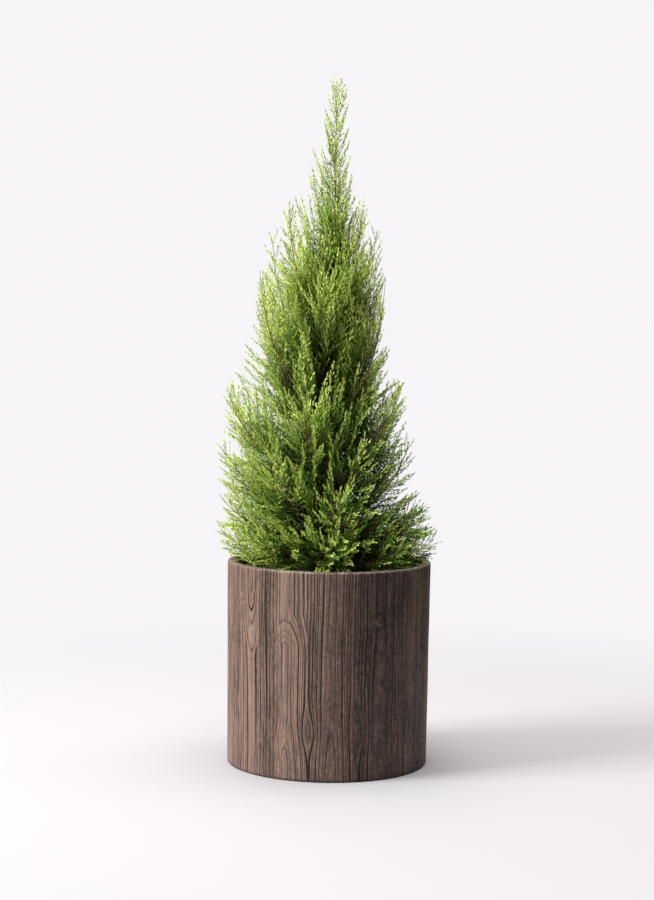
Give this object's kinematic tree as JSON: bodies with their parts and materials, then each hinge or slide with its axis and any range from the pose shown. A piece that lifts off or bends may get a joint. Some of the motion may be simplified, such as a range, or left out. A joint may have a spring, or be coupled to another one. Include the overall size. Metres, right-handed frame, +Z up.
{
  "type": "potted lemon cypress",
  "caption": "Potted conifer: a cone of upright feathery plumes on a slim trunk, in a straight-sided round planter full of soil, standing free on its flat base.",
  "frame": {"origin": "centre of the planter's flat underside", "axes": "+Z up the trunk; -Y towards the viewer of the picture, +X to the right in it"},
  "size_m": [0.4032, 0.3992, 1.267],
  "materials": {
    "pot": "cast wood-grain relief, matt",
    "soil": "crumbly, matt",
    "bark": "thin flaking bark, matt",
    "foliage": "soft scale leaves, satin"
  },
  "bodies": {
    "root": {"bough_lower_1": "bark", "bough_lower_2": "bark", "bough_lower_3": "bark", "bough_lower_4": "bark", "bough_lower_5": "bark", "bough_lower_6": "bark", "bough_middle_1": "bark", "bough_middle_2": "bark", "bough_middle_3": "bark", "bough_middle_4": "bark", "bough_middle_5": "bark", "bough_middle_6": "bark", "bough_upper_1": "bark", "bough_upper_2": "bark", "bough_upper_3": "bark", "bough_upper_4": "bark", "bough_upper_5": "bark", "bough_upper_6": "bark", "foliage_crest_1": "foliage", "foliage_crest_2": "foliage", "foliage_crest_3": "foliage", "foliage_crest_4": "foliage", "foliage_high_1": "foliage", "foliage_high_2": "foliage", "foliage_high_3": "foliage", "foliage_high_4": "foliage", "foliage_leader": "foliage", "foliage_lower_1": "foliage", "foliage_lower_2": "foliage", "foliage_lower_3": "foliage", "foliage_lower_4": "foliage", "foliage_lower_5": "foliage", "foliage_lower_6": "foliage", "foliage_middle_1": "foliage", "foliage_middle_2": "foliage", "foliage_middle_3": "foliage", "foliage_middle_4": "foliage", "foliage_middle_5": "foliage", "foliage_middle_6": "foliage", "foliage_shoulder_1": "foliage", "foliage_shoulder_2": "foliage", "foliage_shoulder_3": "foliage", "foliage_shoulder_4": "foliage", "foliage_skirt_1": "foliage", "foliage_skirt_2": "foliage", "foliage_skirt_3": "foliage", "foliage_skirt_4": "foliage", "foliage_skirt_5": "foliage", "foliage_skirt_6": "foliage", "foliage_skirt_7": "foliage", "foliage_skirt_8": "foliage", "foliage_upper_1": "foliage", "foliage_upper_2": "foliage", "foliage_upper_3": "foliage", "foliage_upper_4": "foliage", "foliage_upper_5": "foliage", "foliage_upper_6": "foliage", "planter": "pot", "soil": "soil", "trunk": "bark"}
  },
  "joints": []
}
